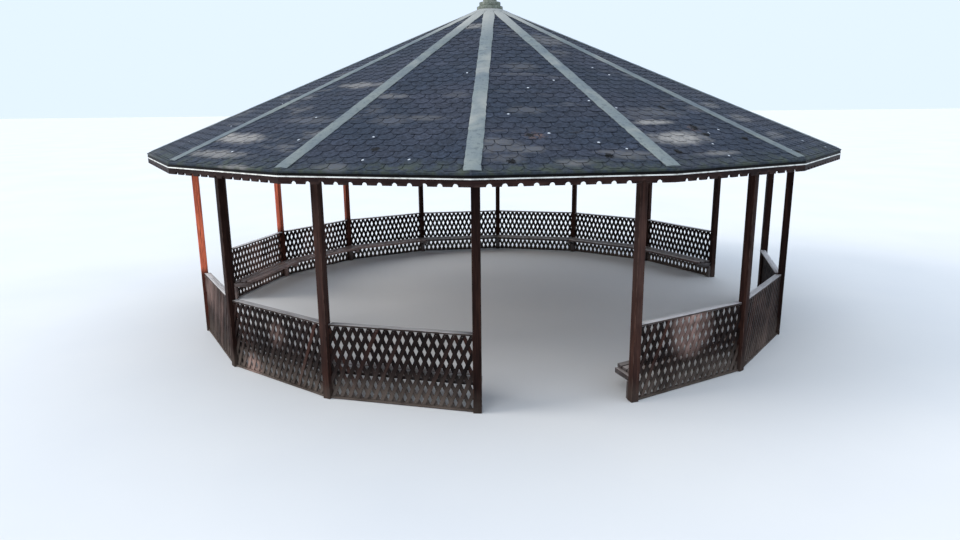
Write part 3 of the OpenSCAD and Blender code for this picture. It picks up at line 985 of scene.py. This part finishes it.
def make_rafters(rng):
    """Rafters with a backed top, which follows both facets, and a notch over the ring beam."""
    rafters = Form()
    ease = 0.003
    half = RAFTER_W / 2
    across = [half - ease, half, half, half - ease, 0.0, -half + ease, -half, -half, -half + ease, 0]
    level = [0, 1, 2, 3, 3, 3, 2, 1, 0, 0]
    corner = [0.5, 1, 1, 0.5, 0, 0.5, 1, 1, 0.5, 0]
    notched = (BAY_R - BEAM_W / 2, BAY_R + BEAM_W / 2)
    stops = [
        None, 0.6, 1.2, PURLIN_R[1] + 0.5, PURLIN_R[0],
        notched[0] - 0.002, *notched, notched[1] + 0.002, EAVE_R - FASCIA_T - 0.0005,
    ]
    for k in range(SIDES):
        rings = []
        for stop in stops:
            ring = []
            for y, lev in zip(across, level):
                x = HUB_R if stop is None else (stop - abs(y) * SIN) / COS
                top = DECK_UNDER - SLOPE * (x * COS + abs(y) * SIN) - UNDER_DECK
                low = BEAM_TOP + 0.0002 if stop in notched else DECK_UNDER - HIP_SLOPE * x - RAFTER_V
                ring.append((x, y, (low, low + ease, top - ease, top)[lev]))
            rings.append(ring)
        rings = np.array(rings)
        rafters.loft(rings, rings + shift(rng), corner, rng.uniform(0.2, 0.8), in_frame(post_frame(k)))
    rafters.make("hip_rafter_timbers", frame_wood, ["hip_rafters"])


def make_purlins(rng):
    purlins = Form()
    e = 0.003
    for r in PURLIN_R:
        r_out = r + PURLIN_W
        top_in = DECK_UNDER - SLOPE * r - UNDER_DECK
        top_out = DECK_UNDER - SLOPE * r_out - UNDER_DECK
        low = DECK_UNDER - SLOPE * r - PURLIN_D
        section = np.array([
            (r + e, low), (r_out - e, low), (r_out, low + e), (r_out, top_out - e),
            (r_out - e, top_out + SLOPE * e), (r + e, top_in - SLOPE * e), (r, top_in - e), (r, low + e),
        ])
        for bay in range(SIDES):
            bar(purlins, (section, np.full(8, 0.5)), mitre(RAFTER_W / 2 / COS + 0.0005), bay_frame(bay),
                (0.2, 0.8), rng, 0.002)
    purlins.make("purlin_timbers", frame_wood, ["purlins"])


def make_hub():
    hub = Form()
    corner_r = HUB_R / COS
    top = DECK_UNDER - SLOPE * corner_r - 0.0003
    low = top - HUB_H
    profile = (
        (corner_r * 0.55, low + 0.012), (corner_r - 0.006, low), (corner_r, low + 0.006),
        (corner_r, top - 0.003), (corner_r - 0.003, top),
    )
    angles = [-math.pi / 2 + 2 * math.pi * k / SIDES for k in range(SIDES)]
    rings = np.array([[(r * math.cos(a), r * math.sin(a), z) for a in angles] for r, z in profile])
    hub.loft(rings, rings[..., [2, 0, 1]] + 3.7, 0.0, 0.5)
    hub.make("hub_block", frame_wood, ["rafter_hub"])


# Roof boards: one plate for each board of each facet


def make_deck():
    rng = random.Random(800)
    form = Form()
    v_end = DECK_R / math.cos(PITCH)
    v_start = DECK_HOLE_R / math.cos(PITCH)
    step = 0.112
    gap = 0.0012
    for i in range(SIDES):
        v = v_end
        while v > v_start + 0.02:
            v_low = max(v - step, v_start) + gap
            v_high = v - (gap if v < v_end else 0)
            outline = between_hips([(v_low, -FAR), (v_high, -FAR), (v_high, FAR), (v_low, FAR)], gap)
            if len(outline) >= 3:
                plate(form, outline, -SHINGLE_T - DECK_T + 0.0004, -SHINGLE_T - 0.0003, 0.0018,
                      facet_place(i), (0, 1), (0.05, 0.95), rng)
            v -= step
    form.make("roof_deck_boards", deck_wood, ["roof_deck"])


# Shingles: rows of six-sided tabs over a base sheet, with a mossy starter band folded over the eave


def tab(form, outline, v_low, place, start, tint, lift):
    """One tab: a thin slab that rises towards its lower edge, with a rim of painted shade that is darkest
    there.
    """
    outline = tidy(outline, 0.002)
    if len(outline) < 3 or area(outline) < 4e-4:
        return
    full = np.asarray(outline, float)
    small = inset(full, 0.0065)

    def height(points, thick):
        up = 1 - (v_low - points[:, 0]) / TAB_LONG
        return -0.0062 + 0.0072 * up + lift * np.clip(up, 0, 1) ** 3 - thick

    under = np.maximum(height(full, 0.0042), -SHINGLE_T + 0.0002)
    rings = levels((full, under), (full, height(full, 0.0006)), (small, height(small, 0.0)))
    near_low = 0.45 + 0.55 * np.clip(1 - (v_low - full[:, 0]) / TAB_CUT, 0, 1)
    form.loft(rings, rings + start, [near_low, near_low, 0 * near_low], tint, place)


def make_shingles():
    v_end = SHINGLE_R / math.cos(PITCH)
    v_start = DECK_HOLE_R / math.cos(PITCH)
    gap = 0.0006
    sheet = [(v_start, -FAR), (v_end - 0.010, -FAR), (v_end - 0.010, FAR), (v_start, FAR)]
    sheet = np.asarray(tidy(between_hips(sheet, gap)), float)
    sheet = levels((sheet, -0.0078), (sheet, -0.0064))
    wide = TAB / 2 - TAB_SLOT / 2
    for i in range(SIDES):
        rng = random.Random(900 + i)
        form = Form()
        place = facet_place(i)
        start = np.array([facet_start(i), 0, 0])
        # The base sheet shows in the slots between the tabs; its high rim paints shade on it
        form.loft(sheet, sheet, 0.8, 0.2, place)
        row = 0
        v_low = v_end - STARTER
        while v_low > v_start + 0.03:
            phase = (row % 2) * TAB / 2 + rng.uniform(-0.004, 0.004)
            count = int(v_low * FACET_SIDE / TAB) + 2
            row_shade = rng.uniform(-0.06, 0.06)
            for m in range(-count, count + 1):
                u = m * TAB + phase + rng.uniform(-0.0015, 0.0015)
                v = v_low + rng.gauss(0, 0.0012)
                outline = between_hips([
                    (v, u - TAB_FLAT / 2), (v, u + TAB_FLAT / 2), (v - TAB_CUT, u + wide),
                    (v - TAB_LONG, u + wide), (v - TAB_LONG, u - wide), (v - TAB_CUT, u - wide),
                ], gap)
                outline = cut(outline, (-1, 0, -v_start))
                if len(outline) < 3:
                    continue
                shade = min(1.0, max(0.0, rng.gauss(0.45, 0.14) + row_shade))
                if rng.random() < 0.05:
                    shade = rng.uniform(0.80, 1.0)
                lift = rng.choice((0, 0, 0.0004, 0.0008, 0.0014))
                tab(form, outline, v, place, start, shade, lift)
            v_low -= ROW
            row += 1
        form.make(f"shingle_rows_{i + 1:02d}", shingle_skin, ["shingles"])
        make_starter(i, place, start, v_end)


def make_starter(i, place, start, v_end):
    """The plain band under the first row, folded down over the edge of the roof boards."""
    rng = random.Random(1900 + i)
    form = Form()
    thick = 0.004
    face = v_end - 0.0006
    top_end = v_end - STARTER - 0.06
    crease = v_end - STARTER * 0.4
    steps = 40
    rings = []
    for n in range(steps + 1):
        share = -1 + 2 * n / steps
        wave = 0.0008 * math.sin(n * 1.3 + i) + rng.uniform(-0.0004, 0.0004)
        fold = -0.0265 + 0.0012 * math.sin(n * 0.9 + 2 * i)
        section = [
            (top_end, -0.0062), (crease, -0.0020), (v_end - 0.006, -0.0012 + wave), (v_end - 0.0012, -0.0045),
            (face, -0.012), (face + wave, fold), (face - thick, fold), (v_end - 0.0012 - thick, -0.012),
            (v_end - 0.004 - thick, -0.0058), (crease, -0.0060), (top_end, -0.0066),
        ]
        rings.append([(v, share * (v * FACET_SIDE - 0.0006), w) for v, w in section])
    rings = np.array(rings)
    # The high rim on the fold's lower part and inner face paints shade there
    form.loft(rings, rings + start, [0, 0, 0, 0.2, 0.2, 0.9, 0.9, 0.9, 0.9, 0, 0], 0.25, place)
    form.make(f"starter_band_{i + 1:02d}", shingle_skin, ["shingles"], 50)


# Hip strips: one membrane bent over each hip


def make_hip_strips():
    crest = 0.008
    steps = 84
    lanes = np.array([-1, -0.93, -0.6, -0.3, -0.1, 0.0, 0.1, 0.3, 0.6, 0.93, 1])
    at_edge = np.abs(lanes) > 0.95
    rim = [*at_edge, *np.ones(len(lanes))]
    for k in range(SIDES):
        rng = random.Random(2100 + k)
        form = Form()
        waves = [(rng.uniform(0.5, 9), rng.uniform(0, 6), rng.uniform(0.0006, 0.0022)) for _ in range(6)]
        rings = []
        for n in range(steps + 1):
            x = CAP_TOP_R + (CAP_END_R - CAP_TOP_R) * n / steps
            left = sum(a * math.sin(f * x + b) for f, b, a in waves[:3]) + rng.gauss(0, 0.0022)
            right = sum(a * math.sin(f * x + b) for f, b, a in waves[3:]) + rng.gauss(0, 0.0022)
            lap = (x % ROW) / ROW
            wide = CAP_W / 2 - 0.003 + np.where(lanes > 0, right, left)
            y = lanes * np.minimum(wide, x * TAN - 0.001)
            roof = APEX_H - SLOPE * (x * COS + np.abs(y) * SIN)
            bent = APEX_H - SLOPE * (x * COS + np.sqrt(y * y + crest * crest) * SIN)
            ripple = 0.0009 * np.sin(31 * x + 3 * lanes + k) + 0.0012 * lap
            top = np.column_stack([np.full(len(y), x), y, bent + 0.0052 + ripple - 0.0015 * at_edge])
            under = np.column_stack([np.full(len(y), x), y, roof + 0.0006])
            rings.append(np.concatenate([top, under[::-1]]))
        rings = np.array(rings)
        form.loft(rings, rings + k * 3.1, rim, rng.uniform(0, 1), in_frame(post_frame(k)))
        form.make(f"hip_strip_{k + 1:02d}", membrane_skin, ["hip_strips"], 50)


# Fascia: boards with round notches, their lower edge eased


def make_fascia():
    form = Form()
    rng = random.Random(2500)
    low = EAVE_UNDER - FASCIA_H
    top = EAVE_UNDER - 0.0004
    side_len = EAVE_R * TAN
    ease = 0.0025
    # Distances along the board from a notch's middle, closer together where the notch is steep
    beside = [SCALLOP_R * math.sin(m / 6 * math.pi / 2) for m in range(-6, 7)]
    beside += [-SCALLOP_R - 0.004, SCALLOP_R + 0.004]
    for i in range(SIDES):
        centres = [(n + 0.5 - SCALLOP_N / 2) * SCALLOP_STEP + rng.gauss(0, 0.0015) for n in range(SCALLOP_N)]
        stations = [-side_len, side_len] + [centre + y for centre in centres for y in beside]
        rings = []
        for s in sorted(y for y in stations if abs(y) <= side_len):
            bottom = low
            for centre in centres:
                if abs(s - centre) < SCALLOP_R:
                    bottom = low + math.sqrt(SCALLOP_R ** 2 - (s - centre) ** 2)
            ring = []
            for depth, z in (
                (0, top), (0, bottom + ease), (ease, bottom + 0.0002), (FASCIA_T - ease, bottom + 0.0002),
                (FASCIA_T, bottom + ease), (FASCIA_T, top + SLOPE * FASCIA_T),
            ):
                r = EAVE_R - depth
                limit = r * TAN - 0.0007
                ring.append((r, min(limit, max(-limit, s)), z))
            rings.append(ring)
        rings = np.array(rings)
        grain = rings[..., [1, 2, 0]] + shift(rng)
        form.loft(rings, grain, [0, 0.8, 0.8, 0.8, 0.8, 0], rng.uniform(0.25, 0.75), in_frame(bay_frame(i)))
    form.make("fascia_notched_boards", fascia_wood, ["fascia_boards"])


# Apex: a folded collar and the turned finial

COLLAR_UNDER = APEX_H + CAP_T / math.cos(PITCH)
COLLAR_THICK = COLLAR_T / math.cos(PITCH)


def make_collar():
    form = Form()
    around = SIDES * 6
    inner = COLLAR_R - 0.002
    profile = (
        (DECK_HOLE_R, 0.0), (inner, 0.0), (COLLAR_R, 0.5), (inner, 1.0), (COLLAR_R * 0.7, 1.0),
        (DECK_HOLE_R, 1.0),
    )
    rings = []
    for r, lift in profile:
        ring = []
        for n in range(around):
            a = 2 * math.pi * n / around + HALF
            off = (a % (2 * HALF)) - HALF
            ragged = (0.012 * math.sin(7 * a) + 0.006 * math.sin(19 * a)) * (r > 0.28) - 0.015
            reach = r / math.cos(off) * (1 + ragged)
            z = COLLAR_UNDER - SLOPE * reach * math.cos(off) + COLLAR_THICK * lift
            ring.append((reach * math.cos(a - HALF * 8), reach * math.sin(a - HALF * 8), z))
        rings.append(ring)
    rings = np.array(rings)
    form.loft(rings, rings + 1.7, 0.0, 0.9, closed=True)
    form.make("apex_collar_sheet", membrane_skin, ["apex_collar"], 40)


def roof_at(r):
    """Height of the collar's upper face, just under the finial."""
    return COLLAR_UNDER + COLLAR_THICK + 0.0003 - HIP_SLOPE * r


def arc(r, z, radius, angles):
    return [(r + radius * math.cos(a), z + radius * math.sin(a)) for a in angles]


def make_finial():
    rng = random.Random(2700)
    finial = Form()
    base = DECK_UNDER - SLOPE * HUB_R / COS - 0.0003
    z1 = roof_at(RING1_R) + RING1_H
    z2 = z1 + GROOVE_H + RING2_H
    z3 = z2 + NECK_H
    knob_z = z3 + KNOB_R * math.sin(math.radians(50))
    knob_r = KNOB_R - 0.0005
    bead = 0.008
    groove_r = RING2_R - GROOVE_H
    axis_r = 0.0005
    profile = [
        (axis_r, base), (STEM_R, base), (STEM_R, roof_at(STEM_R)),
        (RING1_R - 0.004, roof_at(RING1_R - 0.004)), (RING1_R - 0.001, roof_at(RING1_R) + 0.004),
        (RING1_R, roof_at(RING1_R) + RING1_H * 0.5),
        *arc(RING1_R - bead, z1 - bead, bead, (0.2, 0.8, 1.2, 1.57)),
        (groove_r + 0.003, z1), (groove_r, z1 + 0.002), (groove_r, z1 + GROOVE_H),
        (RING2_R - 0.003, z1 + GROOVE_H), (RING2_R, z1 + GROOVE_H + 0.004), (RING2_R, z2 - bead),
        *arc(RING2_R - bead, z2 - bead, bead, (0.5, 1.0, 1.57)),
        (NECK_R + 0.004, z2), (NECK_R + 0.001, z2 + 0.004), (NECK_R - 0.003, z2 + NECK_H * 0.5),
        (NECK_R * 0.90, z3 - 0.010), (KNOB_R * math.cos(math.radians(50)), z3),
    ]
    for degrees in range(-42, 90, 8):
        a = math.radians(degrees)
        profile.append((KNOB_R * math.cos(a), knob_z + knob_r * math.sin(a)))
    profile.append((axis_r, knob_z + knob_r))
    around = 72
    rings = []
    for n, (r, z) in enumerate(profile):
        ring = []
        for m in range(around):
            a = 2 * math.pi * m / around
            rough = 1 + (0.006 * math.sin(5 * a + n) + rng.gauss(0, 0.0035)) * (r > 0.09) - 0.004
            ring.append((r * rough * math.cos(a), r * rough * math.sin(a), z))
        rings.append(ring)
    rings = np.array(rings)
    finial.loft(rings, rings, 0.0, 0.5)
    finial.make("turned_finial", moss_skin, ["finial"], 45)


# Floor, light and camera

FLOOR_HALF = 260
# Lights: name, place, angle, power and colour
LIGHTS = (
    ("key", (-7, -9, 14), 30, 0.50, (1.0, 0.96, 0.90)),
    ("fill", (10, -8, 7), 60, 0.20, (0.95, 0.97, 1.0)),
    ("left", (-12, 0.5, 5.2), 30, 2.20, (1.0, 0.95, 0.89)),
    ("back", (3, 12, 5.5), 80, 0.60, (0.92, 0.96, 1.0)),
)


def make_floor():
    p = Paint("pale_floor")
    p.colour = p.ramp(p.noise(p.place, 0.35, 4), (0.3, 0.7), ((216, 217, 217), (222, 222, 220)))
    p.finish(0.9, specular=0.2)
    corners = [(x * FLOOR_HALF, y * FLOOR_HALF, 0) for x, y in ((-1, -1), (1, -1), (1, 1), (-1, 1))]
    mesh = bpy.data.meshes.new("floor")
    mesh.from_pydata(corners, [], [(0, 1, 2, 3)])
    mesh.materials.append(p.material)
    floor = bpy.data.objects.new("floor", mesh)
    bpy.context.scene.collection.objects.link(floor)


def make_lights():
    world = bpy.data.worlds.new("studio")
    world.use_nodes = True
    background = world.node_tree.nodes["Background"]
    background.inputs["Color"].default_value = (0.80, 0.93, 1.12, 1)
    background.inputs["Strength"].default_value = 1.0
    bpy.context.scene.world = world
    for name, place, angle, power, colour in LIGHTS:
        light = bpy.data.lights.new(name, "SUN")
        light.angle = math.radians(angle)
        light.energy = power
        light.color = colour
        lamp = bpy.data.objects.new(name, light)
        lamp.location = place
        lamp.rotation_mode = "QUATERNION"
        lamp.rotation_quaternion = (-Vector(place)).to_track_quat("-Z", "Y")
        bpy.context.scene.collection.objects.link(lamp)


def make_camera():
    """The photo's viewpoint, solved from the feet and rail tops of the posts."""
    azimuth = math.radians(-9.27717)
    aim = azimuth + math.radians(0.94621)
    pitch = math.radians(13.22321)
    roll = math.radians(-0.52703)
    distance = 2.56836 * POST_R
    height = 0.72024 * POST_R
    focal_pixels = 701.704
    photo_width = 960
    data = bpy.data.cameras.new("photo_camera")
    data.sensor_width = 36
    data.lens = focal_pixels / photo_width * data.sensor_width
    data.clip_end = 800
    camera = bpy.data.objects.new("photo_camera", data)
    place = Matrix.Translation((distance * math.sin(azimuth), -distance * math.cos(azimuth), height))
    turned = Matrix.Rotation(aim, 4, "Z") @ Matrix.Rotation(math.pi / 2 - pitch, 4, "X")
    camera.matrix_world = place @ turned @ Matrix.Rotation(roll, 4, "Z")
    bpy.context.scene.collection.objects.link(camera)
    bpy.context.scene.camera = camera


make_posts()
make_lattice()
make_handrails()
make_benches()
make_frame()
make_deck()
make_shingles()
make_hip_strips()
make_fascia()
make_collar()
make_finial()

# The drip strips stay as they are in the frame, with their own metal
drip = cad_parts["drip_strips"]
drip.data.materials.clear()
drip.data.materials.append(drip_skin)

make_floor()
make_lights()
make_camera()
bpy.context.scene.view_settings.view_transform = "Standard"

bpy.context.view_layer.update()
